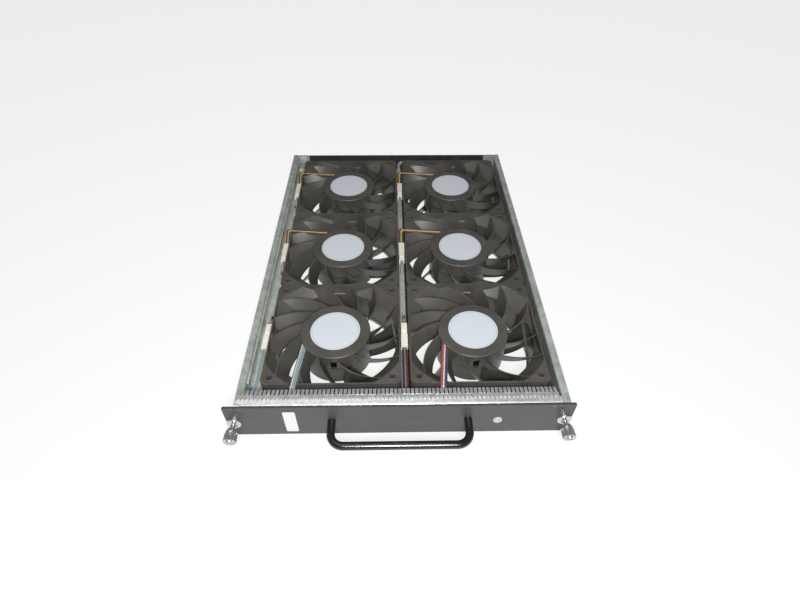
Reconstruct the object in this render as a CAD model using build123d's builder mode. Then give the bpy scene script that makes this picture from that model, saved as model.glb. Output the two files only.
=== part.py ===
"""Slide-in fan tray: six axial fans in a sheet-metal tray behind a front plate with a handle.

Frame: millimetres, +Z up, +Y to the rear. X = 0 is the middle of the front plate, Z = 0 is the
underside of the tray floor, and Y = 0 is halfway along the whole depth.
"""
import math
import os

from build123d import *

os.makedirs("parts", exist_ok=True)

# Fan: a standard 120 mm frame, 38 mm deep
FAN_SIZE = 120.0
FAN_DEPTH = 38.0
FAN_HOLE_INSET = 7.5
FAN_HOLE_DIAMETER = 4.4
FAN_CORNER_RADIUS = 5.0
FAN_RIM = 2.3
FAN_SHELL = 1.9
FAN_FLANGE = 5.0
FAN_TOP_FLANGE = 12.0
FLARE_DEPTH = 10.0
FLARE_WALL = 3.0
FLARE_RIM = 1.5
CUP_DIAMETER = 65.0
CUP_WALL = 2.0
CUP_DEPTH = 15.0
CUP_LID = 2.6
CUP_EDGE_RADIUS = 1.2
CUP_WINDOW_WIDTH = 5.5
CUP_WINDOW_TOP = 4.4
VANE_COUNT = 13
VANE_HEIGHT = 14.0
VANE_DROP = 0.8
VANE_THICKNESS = 1.5
VANE_SWEEP = 26.0
VANE_TWIST = 11.0
VANE_FIRST_ANGLE = 127.0
LABEL_DIAMETER = 46.0
LABEL_THICKNESS = 0.15

# Motor inside each fan
SHAFT_DIAMETER = 4.0
SHAFT_LENGTH = 30.5
SHAFT_SINK = 1.5
BEARING_OUTER = 9.0
BEARING_WIDTH = 4.0
TUBE_WALL = 1.0
TUBE_SHOULDER = 0.7
TUBE_FLANGE = 1.6
TUBE_BOTTOM = 9.0
BEARING_INSET = 0.5
COIL_BOARD_GAP = 4.2
COIL_YOKE_GAP = 5.2
STATOR_HUB = 19.0
SHOE_SLOT = 4.0
YOKE_FLOOR = 1.2
STATOR_DIAMETER = 52.0
STATOR_POLES = 6
POLE_WIDTH = 6.0
POLE_SHOE = 2.4
COIL_THICKNESS = 2.6
COIL_LENGTH = 10.0
COIL_START = 11.0
COIL_CORNER_RADIUS = 1.2
AIR_GAP = 0.6
BOARD_THICKNESS = 1.6
BOARD_RADIUS = 28.0
POST_DIAMETER = 3.0
POST_HEIGHT = 3.0
POST_CIRCLE = 40.0
BLADE_COUNT = 5
BLADE_FIRST_ANGLE = 63.0
BLADE_THICKNESS = 1.7
BLADE_SWEEP = 14.0
BLADE_TWIST = 15.0
HUB_FLOOR = 2.4
HUB_WALL = 2.2
HUB_INSET = 0.3
BOSS_DIAMETER = 10.0
BOSS_HEIGHT = 3.4
ROTOR_FLOOR_GAP = 2.6
ROTOR_CUP_GAP = 1.0
BLADE_INSET = 1.2
TIP_CLEARANCE = 1.0

# Running and seating clearances
FIT = 0.03
SEAT = 0.05
SIDE_CLEARANCE = 0.3

# Tray: sheet steel, walls with lips folded outwards
SHEET = 1.2
BEND = 1.0
COLUMN_GAP = 8.0
ROW_GAP = 0.4
LEFT_CHANNEL = 11.2
RIGHT_CHANNEL = 5.2
LIP_REACH = 5.0
LEFT_FOOT = 7.0
RIGHT_FOOT = 3.6
WALL_RISE = 1.0
FRONT_DEPTH = 23.7
REAR_DEPTH = 13.0
TAB_WIDTH = 14.0
OPENING_LIP = 1.7
STUD_DIAMETER = 4.0
STUD_HEAD = 6.0
STUD_HEAD_HEIGHT = 0.6
STUD_REACH = 5.2
NUT_SIZE = 7.0
NUT_HEIGHT = 3.2

# Front plate, channel and gasket
LEFT_OVERHANG = 8.85
RIGHT_OVERHANG = 4.05
PLATE_THICKNESS = 2.0
PLATE_RISE = 0.6
PLATE_CORNER = 1.0
FLANGE_REACH = 13.0
CHANNEL_FOOT = 14.0
FLANGE_SLOT_WIDTH = 2.0
FLANGE_SLOT_LENGTH = 4.3
FLANGE_NOTCH = 2.4
GASKET_WIDTH = 13.5
GASKET_INSET = 4.2
GASKET_SHEET = 0.3
GASKET_RISE = 1.2
GASKET_BASE = 2.0
FINGER_PITCH = 3.5
FINGER_SLOT = 0.8
FINGER_LENGTH = 6.0

# Handle, status light and sticker
HANDLE_BAR = 7.0
HANDLE_PITCH = 114.3
HANDLE_REACH = 27.2
HANDLE_BEND = 11.0
HANDLE_Z = 21.0
HANDLE_SCREW = 4.0
HANDLE_SCREW_GRIP = 9.0
HANDLE_SCREW_HEAD = 7.6
HANDLE_SCREW_HEAD_HEIGHT = 2.6
LIGHT_INSET = 62.45
LIGHT_Z = 19.2
LIGHT_DIAMETER = 8.0
LIGHT_DOME = 1.4
LIGHT_FLANGE = 11.0
LIGHT_FLANGE_THICKNESS = 1.5
LIGHT_BOARD_WIDTH = 22.0
LIGHT_BOARD_HEIGHT = 14.0
STICKER_INSET = 53.15
STICKER_Z = 19.4
STICKER_WIDTH = 10.3
STICKER_HEIGHT = 29.6
STICKER_CORNER = 1.2

# Captive thumbscrews, drawn out at rest
SCREW_INSET = 6.2
SCREW_Z = 20.4
THREAD_DIAMETER = 4.0
THREAD_LENGTH = 7.0
KNOB_DIAMETER = 10.8
KNOB_LENGTH = 12.4
KNOB_SHOULDER = 3.0
KNOB_BOSS = 7.0
KNOB_BOSS_LENGTH = 1.4
KNOB_SLOT_WIDTH = 1.2
KNOB_SLOT_DEPTH = 1.6
KNOB_STANDOFF = 6.6
FERRULE_DIAMETER = 12.4
FERRULE_HEIGHT = 2.3
FERRULE_DISH = 1.2
FERRULE_DISH_DIAMETER = 8.8
FERRULE_BARREL = 7.0
FERRULE_TAIL = 1.6
CLIP_DIAMETER = 7.4
CLIP_THICKNESS = 0.8
CLIP_GROOVE = 3.0
CLIP_MOUTH = 2.4
RELIEF_LENGTH = 14.0
RELIEF_HEIGHT = 11.0

# Wire troughs, connectors and leads
TROUGH_FLOOR_Z = 27.0
TROUGH_SHEET = 1.0
HEM_DIAMETER = 1.8
CENTRE_FLANGE = 5.8
CENTRE_FOOT = 5.0
TAIL_SLOT_WIDTH = 3.4
TAIL_SLOT_LENGTH = 13.0
TROUGH_BEND = 3.0
TROUGH_FRONT_INSET = 4.0
PLUG_WIDTH = 6.4
PLUG_HEIGHT = 6.4
PLUG_LENGTH = 14.0
LATCH_HEIGHT = 1.0
LATCH_LENGTH = 7.0
LATCH_WIDTH = 3.0
SOCKET_WIDTH = 5.8
LEAD_BESIDE = 4.0
WIRE_DIAMETER = 1.4
WIRE_PITCH = 1.6
WIRE_TURN = 2.4
WIRE_GAP = 2.5
WIRE_GAP_DROP = 15.0
WIRE_RUN = 3.0
LEAD_HUB_X = -17.2
LEAD_HUB_Y = 27.4
LEAD_EDGE_Y = 32.0
LEAD_START_X = -11.0
LEAD_REST = 35.0
LEAD_RIB_WIDTH = 6.4
LEAD_RIB_HEIGHT = 4.0
LEAD_COVER = 1.7
BUNDLE_DIAMETER = 4.8
BUNDLE_TURN = 4.0
TAIL_DIAMETER = 2.8
TAIL_RUN = 8.0
TAIL_DROP = 10.0
LEFT_BUNDLE_Z = 12.0
CENTRE_BUNDLE_Z = 20.0
CENTRE_CROSSING_Z = 33.0
LIGHT_CABLE = 1.8
LIGHT_CABLE_TURN = 4.0
LIGHT_CABLE_Z = 12.0
LIGHT_CABLE_RISE = 6.0
GAP_RUN = 4.2
BUNDLE_START = 26.0
CENTRE_BUNDLE_INSET = 12.0

# Rear blind-mate connector
PORT_WIDTH = 46.0
PORT_HEIGHT = 16.0
PORT_REACH = 8.0
PORT_DEPTH = 4.0
PORT_WALL = 1.8
PORT_LIP = 2.0
PORT_LIP_THICKNESS = 1.4
PORT_Z = 16.0
PORT_ENTRY = 10.0
PIN_SIZE = 1.4
PIN_COLUMNS = 8
PIN_PITCH = 4.6
PIN_ROW_PITCH = 5.0
PIN_LENGTH = 5.6

# Places that follow from the sizes above
ROW_PITCH = FAN_SIZE + ROW_GAP
COLUMN_PITCH = FAN_SIZE + COLUMN_GAP
TRAY_DEPTH = FRONT_DEPTH + 2 * ROW_PITCH + FAN_SIZE + REAR_DEPTH + SHEET
FRONT_Y = HANDLE_REACH - (HANDLE_REACH + TRAY_DEPTH + PORT_REACH) / 2
BACK_Y = FRONT_Y + TRAY_DEPTH
PANEL_Y = BACK_Y - SHEET
PLATE_BACK_Y = FRONT_Y + PLATE_THICKNESS
WEB_BACK_Y = PLATE_BACK_Y + SHEET
FLANGE_END_Y = FRONT_Y + FLANGE_REACH
FAN_FRONT_Y = FRONT_Y + FRONT_DEPTH
FAN_REAR_Y = PANEL_Y - REAR_DEPTH
FAN_Z = SHEET
FAN_TOP = FAN_Z + FAN_DEPTH
WALL_TOP = FAN_TOP + WALL_RISE
PLATE_HEIGHT = WALL_TOP + PLATE_RISE
FLOOR_WIDTH = LEFT_CHANNEL + FAN_SIZE + COLUMN_PITCH + RIGHT_CHANNEL + 2 * SHEET
PLATE_WIDTH = LEFT_OVERHANG + LIP_REACH + FLOOR_WIDTH + LIP_REACH + RIGHT_OVERHANG
LEFT_LIP = LEFT_OVERHANG - PLATE_WIDTH / 2
LEFT_WALL_OUT = LEFT_LIP + LIP_REACH
LEFT_WALL_IN = LEFT_WALL_OUT + SHEET
LEFT_X = LEFT_WALL_IN + LEFT_CHANNEL + FAN_SIZE / 2
RIGHT_X = LEFT_X + COLUMN_PITCH
COLUMN_MIDDLE = (LEFT_X + RIGHT_X) / 2
RIGHT_WALL_IN = RIGHT_X + FAN_SIZE / 2 + RIGHT_CHANNEL
RIGHT_WALL_OUT = RIGHT_WALL_IN + SHEET
RIGHT_LIP = RIGHT_WALL_OUT + LIP_REACH
SCREW_X = PLATE_WIDTH / 2 - SCREW_INSET
LIGHT_X = PLATE_WIDTH / 2 - LIGHT_INSET
STICKER_X = STICKER_INSET - PLATE_WIDTH / 2
CENTRE_LEFT = LEFT_X + FAN_SIZE / 2 + SIDE_CLEARANCE
PLUG_Z = TROUGH_FLOOR_Z + PLUG_HEIGHT / 2
HUB_RADIUS = CUP_DIAMETER / 2
BORE_RADIUS = FAN_SIZE / 2 - FAN_RIM
FAN_HOLE_SPACING = FAN_SIZE - 2 * FAN_HOLE_INSET
LEAD_OFFSET = FAN_SIZE / 2 + LEAD_BESIDE
TUBE_RADIUS = BEARING_OUTER / 2 + TUBE_WALL

FAN_ROWS = ("front", "middle", "rear")
FAN_COLUMNS = {"left": LEFT_X, "right": RIGHT_X}


def row_y(row):
    """Y of the hubs in a row of fans."""
    return FAN_FRONT_Y + FAN_SIZE / 2 + FAN_ROWS.index(row) * ROW_PITCH


def fan_spots():
    """Name and place of each fan; the front row is turned so that its leads leave to the front."""
    for row in FAN_ROWS:
        for column, x in FAN_COLUMNS.items():
            turn = 90 if row == "front" else 0
            yield f"{row}_{column}", Location((x, row_y(row), FAN_Z), (0, 0, turn))


def upright(y):
    """Plane across the tray at y, seen from the front: extrusions grow forwards."""
    return Plane.XZ.offset(-y)


def keep(part, name):
    """Label a finished piece and write it as its own file."""
    part.label = name
    export_step(part, f"parts/{name}.step")


def keep_group(solids, name):
    """Write several like pieces as one node of separate solids."""
    keep(Compound(children=list(solids)), name)


def at_each_fan(part):
    """A copy of a fan piece at each of the six fans."""
    return [part.moved(spot) for _, spot in fan_spots()]


def strip_outline(inner, outer, start, sweep, thickness):
    """Outline of a swept blade seen along its axis, from radius inner to outer."""
    stations = []
    for share in (0, 0.5, 1):
        radius = inner + share * (outer - inner)
        stations.append((radius, math.radians(start + sweep * share)))
    sides = []
    for sign in (-1, 1):
        side = []
        for radius, angle in stations:
            edge = angle + sign * thickness / 2 / radius
            side.append((radius * math.cos(edge), radius * math.sin(edge)))
        sides.append(side)
    return sides


def blade_sketch(plane, inner, outer, start, sweep, thickness):
    """Closed sketch of a swept blade on a level plane."""
    near, far = strip_outline(inner, outer, start, sweep, thickness)
    with BuildSketch(plane) as blade:
        with BuildLine():
            ThreePointArc(*near)
            Line(near[2], far[2])
            ThreePointArc(far[2], far[1], far[0])
            Line(far[0], near[0])
        make_face()
    return blade.sketch


def tube_along(points, diameter, turn):
    """Round tube along straight runs joined by arcs."""
    with BuildPart() as tube:
        with BuildLine() as path:
            FilletPolyline(*points, radius=turn)
        with BuildSketch(Plane(origin=path.line @ 0, z_dir=path.line % 0)):
            Circle(diameter / 2)
        sweep(path=path.line)
    return tube.part


# Front plate
with BuildPart() as faceplate:
    with BuildSketch(upright(PLATE_BACK_Y)):
        with Locations((0, PLATE_HEIGHT / 2)):
            RectangleRounded(PLATE_WIDTH, PLATE_HEIGHT, PLATE_CORNER)
        with Locations((-SCREW_X, SCREW_Z), (SCREW_X, SCREW_Z)):
            Circle(FERRULE_BARREL / 2 + SEAT, mode=Mode.SUBTRACT)
        with Locations((-HANDLE_PITCH / 2, HANDLE_Z), (HANDLE_PITCH / 2, HANDLE_Z)):
            Circle(HANDLE_SCREW / 2 + SEAT, mode=Mode.SUBTRACT)
        with Locations((LIGHT_X, LIGHT_Z)):
            Circle(LIGHT_DIAMETER / 2 + SEAT, mode=Mode.SUBTRACT)
    extrude(amount=PLATE_THICKNESS)
keep(faceplate.part, "faceplate")

with BuildPart() as sticker:
    with BuildSketch(upright(FRONT_Y)):
        with Locations((STICKER_X, STICKER_Z)):
            RectangleRounded(STICKER_WIDTH, STICKER_HEIGHT, STICKER_CORNER)
    extrude(amount=LABEL_THICKNESS)
keep(sticker.part, "front_label")

# Front channel: web behind the plate, wide flange on top, foot on the floor
FLANGE_Z = WALL_TOP - SHEET / 2
WEB_Y = PLATE_BACK_Y + SHEET / 2
with BuildPart() as front_channel:
    with BuildSketch(Plane.YZ.offset(LEFT_WALL_IN + SIDE_CLEARANCE)):
        with BuildLine():
            FilletPolyline(
                (FLANGE_END_Y, FLANGE_Z),
                (WEB_Y, FLANGE_Z),
                (WEB_Y, SHEET + SHEET / 2),
                (FRONT_Y + CHANNEL_FOOT, SHEET + SHEET / 2),
                radius=BEND + SHEET / 2,
            )
        trace(line_width=SHEET)
    extrude(amount=RIGHT_WALL_IN - LEFT_WALL_IN - 2 * SIDE_CLEARANCE)
    with BuildSketch(Plane.XY.offset(WALL_TOP - SHEET)):
        with Locations((LEFT_LIP, PLATE_BACK_Y + FLANGE_NOTCH)):
            Rectangle(
                LEFT_WALL_IN + SIDE_CLEARANCE - LEFT_LIP,
                FLANGE_END_Y - PLATE_BACK_Y - FLANGE_NOTCH,
                align=(Align.MIN, Align.MIN),
            )
    extrude(amount=SHEET)
    with BuildSketch(Plane.XY.offset(WALL_TOP - 2 * SHEET)):
        with Locations((RIGHT_WALL_IN - SIDE_CLEARANCE, FLANGE_END_Y)):
            Rectangle(FLANGE_SLOT_WIDTH, FLANGE_SLOT_LENGTH, align=(Align.MAX, Align.MAX))
    extrude(amount=3 * SHEET, mode=Mode.SUBTRACT)
    with BuildSketch(upright(WEB_BACK_Y + SHEET)):
        with Locations((-HANDLE_PITCH / 2, HANDLE_Z), (HANDLE_PITCH / 2, HANDLE_Z)):
            Circle(HANDLE_SCREW / 2 + SEAT)
        with Locations((LIGHT_X, LIGHT_Z)):
            Circle(LIGHT_DIAMETER / 2 + SEAT)
    extrude(amount=3 * SHEET, mode=Mode.SUBTRACT)
keep(front_channel.part, "front_channel")

# Shielding gasket: arched spring strip, its rear half cut into fingers
GASKET_LEFT = LEFT_LIP + SIDE_CLEARANCE
GASKET_RIGHT = RIGHT_WALL_IN - SIDE_CLEARANCE - FLANGE_SLOT_WIDTH
GASKET_FRONT_Y = FRONT_Y + GASKET_INSET
GASKET_END_Y = GASKET_FRONT_Y + GASKET_WIDTH
GASKET_Z = WALL_TOP + GASKET_SHEET / 2
FINGER_COUNT = int((GASKET_RIGHT - GASKET_LEFT) / FINGER_PITCH)
with BuildPart() as gasket:
    with BuildSketch(Plane.YZ.offset(GASKET_LEFT)):
        with BuildLine() as spring:
            base = Line((GASKET_FRONT_Y, GASKET_Z), (GASKET_FRONT_Y + GASKET_BASE, GASKET_Z))
            ThreePointArc(
                base @ 1,
                (GASKET_FRONT_Y + GASKET_WIDTH / 2, GASKET_Z + GASKET_RISE),
                (GASKET_END_Y, GASKET_Z + GASKET_SHEET),
            )
        trace(line_width=GASKET_SHEET)
    extrude(amount=GASKET_RIGHT - GASKET_LEFT)
    with BuildSketch(Plane.XY.offset(WALL_TOP)):
        with Locations(((GASKET_LEFT + GASKET_RIGHT) / 2, GASKET_END_Y - FINGER_LENGTH / 2)):
            with GridLocations(FINGER_PITCH, 1, FINGER_COUNT, 1):
                Rectangle(FINGER_SLOT, FINGER_LENGTH + GASKET_SHEET)
    extrude(amount=2 * GASKET_RISE, mode=Mode.SUBTRACT)
keep(gasket.part, "emi_gasket")

# Tray floor with a round air opening and four stud holes under each fan
with BuildPart() as tray_floor:
    with BuildSketch():
        with Locations((LEFT_WALL_OUT, PLATE_BACK_Y)):
            Rectangle(FLOOR_WIDTH, BACK_Y - PLATE_BACK_Y, align=(Align.MIN, Align.MIN))
        with Locations((COLUMN_MIDDLE, row_y("middle"))):
            with GridLocations(COLUMN_PITCH, ROW_PITCH, 2, 3):
                Circle(BORE_RADIUS - OPENING_LIP, mode=Mode.SUBTRACT)
    extrude(amount=SHEET)
    for _, spot in fan_spots():
        with Locations((spot.position.X, spot.position.Y)):
            with GridLocations(FAN_HOLE_SPACING, FAN_HOLE_SPACING, 2, 2):
                Cylinder(
                    STUD_DIAMETER / 2 + SEAT,
                    SHEET,
                    align=(Align.CENTER, Align.CENTER, Align.MIN),
                    mode=Mode.SUBTRACT,
                )
                Cylinder(
                    STUD_HEAD / 2 + SEAT,
                    STUD_HEAD_HEIGHT,
                    align=(Align.CENTER, Align.CENTER, Align.MIN),
                    mode=Mode.SUBTRACT,
                )
keep(tray_floor.part, "tray_floor")

# Flush studs in the floor and the nuts that hold each fan's lower flange
with BuildPart() as stud:
    Cylinder(STUD_HEAD / 2, STUD_HEAD_HEIGHT, align=(Align.CENTER, Align.CENTER, Align.MIN))
    Cylinder(
        STUD_DIAMETER / 2,
        FAN_Z + FAN_FLANGE + STUD_REACH,
        align=(Align.CENTER, Align.CENTER, Align.MIN),
    )
with BuildPart() as nut:
    with BuildSketch(Plane.XY.offset(FAN_Z + FAN_FLANGE)):
        RegularPolygon(NUT_SIZE / 2, 6, major_radius=False)
        Circle(STUD_DIAMETER / 2 + SEAT, mode=Mode.SUBTRACT)
    extrude(amount=NUT_HEIGHT)
studs = []
nuts = []
for _, spot in fan_spots():
    for corner in GridLocations(FAN_HOLE_SPACING, FAN_HOLE_SPACING, 2, 2):
        place = Location((spot.position.X, spot.position.Y, 0)) * corner
        studs.append(stud.part.moved(place))
        nuts.append(nut.part.moved(place))
keep_group(studs, "fan_studs")
keep_group(nuts, "fan_nuts")


def side_rail(wall_in, wall_out, lip, foot, lip_start):
    """Side wall with its lip folded outwards, a foot on the floor and a corner tab at the rear."""
    inwards = 1 if wall_in > wall_out else -1
    inner_side = Align.MIN if inwards > 0 else Align.MAX
    wall_x = (wall_in + wall_out) / 2
    lip_z = WALL_TOP - SHEET / 2
    foot_z = SHEET + SHEET / 2
    with BuildPart() as rail:
        with BuildSketch(upright(PANEL_Y)):
            with BuildLine():
                FilletPolyline(
                    (lip, lip_z),
                    (wall_x, lip_z),
                    (wall_x, foot_z),
                    (wall_in + inwards * foot, foot_z),
                    radius=BEND + SHEET / 2,
                )
            trace(line_width=SHEET)
        extrude(amount=PANEL_Y - PLATE_BACK_Y)
        with BuildSketch(upright(PANEL_Y)):
            with Locations((wall_in, WALL_TOP - SHEET)):
                Rectangle(TAB_WIDTH, WALL_TOP - 3 * SHEET, align=(inner_side, Align.MAX))
        extrude(amount=SHEET)
        if lip_start > PLATE_BACK_Y:
            with BuildSketch(Plane.XY.offset(WALL_TOP - SHEET - SIDE_CLEARANCE)):
                with Locations((lip, PLATE_BACK_Y)):
                    Rectangle(
                        abs(lip - wall_in) + SHEET,
                        lip_start - PLATE_BACK_Y,
                        align=(inner_side, Align.MIN),
                    )
            extrude(amount=2 * SHEET, mode=Mode.SUBTRACT)
        with BuildSketch(Plane.XY.offset(SHEET)):
            with Locations((wall_in, PLATE_BACK_Y)):
                Rectangle(
                    foot + SHEET,
                    FRONT_Y + CHANNEL_FOOT + SIDE_CLEARANCE - PLATE_BACK_Y,
                    align=(inner_side, Align.MIN),
                )
        extrude(amount=SHEET + BEND, mode=Mode.SUBTRACT)
        with BuildSketch(Plane.YZ.offset(wall_out - inwards * SHEET)):
            with Locations((PLATE_BACK_Y, SCREW_Z)):
                Rectangle(RELIEF_LENGTH, RELIEF_HEIGHT, align=(Align.MIN, Align.CENTER))
        extrude(amount=inwards * 3 * SHEET, mode=Mode.SUBTRACT)
    return rail.part


LEFT_LIP_START = FLANGE_END_Y + SIDE_CLEARANCE
keep(side_rail(LEFT_WALL_IN, LEFT_WALL_OUT, LEFT_LIP, LEFT_FOOT, LEFT_LIP_START), "left_rail")
keep(side_rail(RIGHT_WALL_IN, RIGHT_WALL_OUT, RIGHT_LIP, RIGHT_FOOT, PLATE_BACK_Y), "right_rail")

# Rear panel on the floor, with an opening for the blind-mate connector
with BuildPart() as rear_panel:
    with BuildSketch(upright(BACK_Y)):
        with Locations((LEFT_WALL_OUT, SHEET)):
            Rectangle(FLOOR_WIDTH, WALL_TOP - 2 * SHEET, align=(Align.MIN, Align.MIN))
        with Locations((RIGHT_X, PORT_Z)):
            Rectangle(PORT_WIDTH + 2 * SEAT, PORT_HEIGHT + 2 * SEAT, mode=Mode.SUBTRACT)
    extrude(amount=SHEET)
keep(rear_panel.part, "rear_panel")

# Blind-mate connector: shroud through the panel, lip behind it, a block of contacts inside
with BuildPart() as port:
    with BuildSketch(upright(BACK_Y + PORT_REACH)):
        with Locations((RIGHT_X, PORT_Z)):
            Rectangle(PORT_WIDTH, PORT_HEIGHT)
            Rectangle(PORT_WIDTH - 2 * PORT_WALL, PORT_HEIGHT - 2 * PORT_WALL, mode=Mode.SUBTRACT)
    extrude(amount=PORT_REACH + SHEET)
    with BuildSketch(upright(PANEL_Y)):
        with Locations((RIGHT_X, PORT_Z)):
            Rectangle(PORT_WIDTH, PORT_HEIGHT)
    extrude(amount=PORT_DEPTH)
    with BuildSketch(upright(PANEL_Y)):
        with Locations((RIGHT_X, PORT_Z)):
            Rectangle(PORT_WIDTH + 2 * PORT_LIP, PORT_HEIGHT + 2 * PORT_LIP)
    extrude(amount=PORT_LIP_THICKNESS)
keep(port.part, "rear_connector")

with BuildPart() as pin:
    with BuildSketch(upright(PANEL_Y + PIN_LENGTH)):
        Rectangle(PIN_SIZE, PIN_SIZE)
    extrude(amount=PIN_LENGTH)
pins = []
for spot in GridLocations(PIN_PITCH, PIN_ROW_PITCH, PIN_COLUMNS, 2):
    across, up, _ = spot.position
    pins.append(pin.part.moved(Location((RIGHT_X + across, 0, PORT_Z + up))))
keep_group(pins, "rear_contacts")

# Handle: one bent round bar, its tapped ends against the plate
with BuildPart() as handle:
    grip_y = FRONT_Y - HANDLE_REACH + HANDLE_BAR / 2
    with BuildLine() as bar:
        FilletPolyline(
            (-HANDLE_PITCH / 2, FRONT_Y, HANDLE_Z),
            (-HANDLE_PITCH / 2, grip_y, HANDLE_Z),
            (HANDLE_PITCH / 2, grip_y, HANDLE_Z),
            (HANDLE_PITCH / 2, FRONT_Y, HANDLE_Z),
            radius=HANDLE_BEND,
        )
    with BuildSketch(Plane(origin=bar.line @ 0, z_dir=bar.line % 0)):
        Circle(HANDLE_BAR / 2)
    sweep(path=bar.line)
    with BuildSketch(upright(FRONT_Y)):
        with Locations((-HANDLE_PITCH / 2, HANDLE_Z), (HANDLE_PITCH / 2, HANDLE_Z)):
            Circle(HANDLE_SCREW / 2 + SEAT)
    extrude(amount=HANDLE_SCREW_GRIP + SIDE_CLEARANCE, mode=Mode.SUBTRACT)
keep(handle.part, "handle")

with BuildPart() as handle_screws:
    with BuildSketch(upright(WEB_BACK_Y + HANDLE_SCREW_HEAD_HEIGHT)):
        with Locations((-HANDLE_PITCH / 2, HANDLE_Z), (HANDLE_PITCH / 2, HANDLE_Z)):
            Circle(HANDLE_SCREW_HEAD / 2)
    extrude(amount=HANDLE_SCREW_HEAD_HEIGHT)
    with BuildSketch(upright(WEB_BACK_Y)):
        with Locations((-HANDLE_PITCH / 2, HANDLE_Z), (HANDLE_PITCH / 2, HANDLE_Z)):
            Circle(HANDLE_SCREW / 2)
    extrude(amount=WEB_BACK_Y - FRONT_Y + HANDLE_SCREW_GRIP)
keep(handle_screws.part, "handle_screws")

# Status light: domed lens through plate and web, its board behind the lens flange
LENS_LENGTH = WEB_BACK_Y - FRONT_Y
with BuildPart() as lens:
    with BuildSketch(upright(WEB_BACK_Y)):
        with Locations((LIGHT_X, LIGHT_Z)):
            Circle(LIGHT_DIAMETER / 2)
    extrude(amount=LENS_LENGTH + LIGHT_DOME)
    fillet(lens.edges().sort_by(Axis.Y)[0], radius=LIGHT_DOME - SEAT)
    with BuildSketch(upright(WEB_BACK_Y + LIGHT_FLANGE_THICKNESS)):
        with Locations((LIGHT_X, LIGHT_Z)):
            Circle(LIGHT_FLANGE / 2)
    extrude(amount=LIGHT_FLANGE_THICKNESS)
keep(lens.part, "status_lens")

LIGHT_BOARD_Y = WEB_BACK_Y + LIGHT_FLANGE_THICKNESS
with BuildPart() as light_board:
    with BuildSketch(upright(LIGHT_BOARD_Y + BOARD_THICKNESS)):
        with Locations((LIGHT_X, LIGHT_Z)):
            Rectangle(LIGHT_BOARD_WIDTH, LIGHT_BOARD_HEIGHT)
    extrude(amount=BOARD_THICKNESS)
keep(light_board.part, "light_board")

# Captive thumbscrews: ferrule pressed in the plate, screw through it, clip behind
CLIP_Y = PLATE_BACK_Y + FERRULE_TAIL + FIT
KNOB_Y = FRONT_Y - KNOB_STANDOFF
SCREW_END_Y = CLIP_Y + CLIP_THICKNESS + 2 * FIT + THREAD_LENGTH
with BuildPart() as ferrule:
    with BuildSketch(Plane.YZ) as section:
        with BuildLine():
            Polyline(
                (FRONT_Y - FERRULE_HEIGHT, FERRULE_DISH_DIAMETER / 2),
                (FRONT_Y - FERRULE_HEIGHT, FERRULE_DIAMETER / 2),
                (FRONT_Y, FERRULE_DIAMETER / 2),
                (FRONT_Y, FERRULE_BARREL / 2),
                (PLATE_BACK_Y + FERRULE_TAIL, FERRULE_BARREL / 2),
                (PLATE_BACK_Y + FERRULE_TAIL, THREAD_DIAMETER / 2 + 2 * FIT),
                (FRONT_Y - FERRULE_HEIGHT + FERRULE_DISH, THREAD_DIAMETER / 2 + 2 * FIT),
                (FRONT_Y - FERRULE_HEIGHT + FERRULE_DISH, FERRULE_DISH_DIAMETER / 2 - FERRULE_DISH),
                close=True,
            )
        make_face()
        fillet(section.vertices().group_by(Axis.X)[0].sort_by(Axis.Y)[-1], radius=FERRULE_DISH / 2)
    revolve(axis=Axis.Y)
keep_group(
    [ferrule.part.moved(Location((side * SCREW_X, 0, SCREW_Z))) for side in (-1, 1)],
    "screw_ferrules",
)

with BuildPart() as thumbscrew:
    with BuildSketch(Plane.YZ) as outline:
        with BuildLine():
            Polyline(
                (KNOB_Y - KNOB_LENGTH - KNOB_BOSS_LENGTH, 0),
                (KNOB_Y - KNOB_LENGTH - KNOB_BOSS_LENGTH, KNOB_BOSS / 2),
                (KNOB_Y - KNOB_LENGTH, KNOB_BOSS / 2),
                (KNOB_Y - KNOB_LENGTH, KNOB_DIAMETER / 2),
                (KNOB_Y, KNOB_DIAMETER / 2),
                (KNOB_Y, THREAD_DIAMETER / 2),
                (CLIP_Y, THREAD_DIAMETER / 2),
                (CLIP_Y, CLIP_GROOVE / 2),
                (CLIP_Y + CLIP_THICKNESS + 2 * FIT, CLIP_GROOVE / 2),
                (CLIP_Y + CLIP_THICKNESS + 2 * FIT, THREAD_DIAMETER / 2),
                (SCREW_END_Y, THREAD_DIAMETER / 2),
                (SCREW_END_Y, 0),
                close=True,
            )
        make_face()
        knob_corners = outline.vertices().group_by(Axis.Y)[-1].sort_by(Axis.X)
        fillet(knob_corners[1], radius=KNOB_SHOULDER)
        fillet(knob_corners[0], radius=KNOB_SLOT_WIDTH)
    revolve(axis=Axis.Y)
    with BuildSketch(upright(KNOB_Y - KNOB_LENGTH - KNOB_BOSS_LENGTH + KNOB_SLOT_DEPTH)):
        Rectangle(KNOB_DIAMETER, KNOB_SLOT_WIDTH)
    extrude(amount=KNOB_SLOT_DEPTH, mode=Mode.SUBTRACT)

with BuildPart() as clip:
    with BuildSketch(upright(CLIP_Y + FIT + CLIP_THICKNESS)):
        Circle(CLIP_DIAMETER / 2)
        Circle(CLIP_GROOVE / 2 + FIT, mode=Mode.SUBTRACT)
        with Locations((0, -CLIP_DIAMETER / 2)):
            Rectangle(CLIP_MOUTH, CLIP_DIAMETER, mode=Mode.SUBTRACT)
    extrude(amount=CLIP_THICKNESS)
for side, name in ((-1, "left"), (1, "right")):
    spot = Location((side * SCREW_X, 0, SCREW_Z))
    keep(thumbscrew.part.moved(spot), f"{name}_thumbscrew")
    keep(clip.part.moved(spot), f"{name}_screw_clip")

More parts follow.
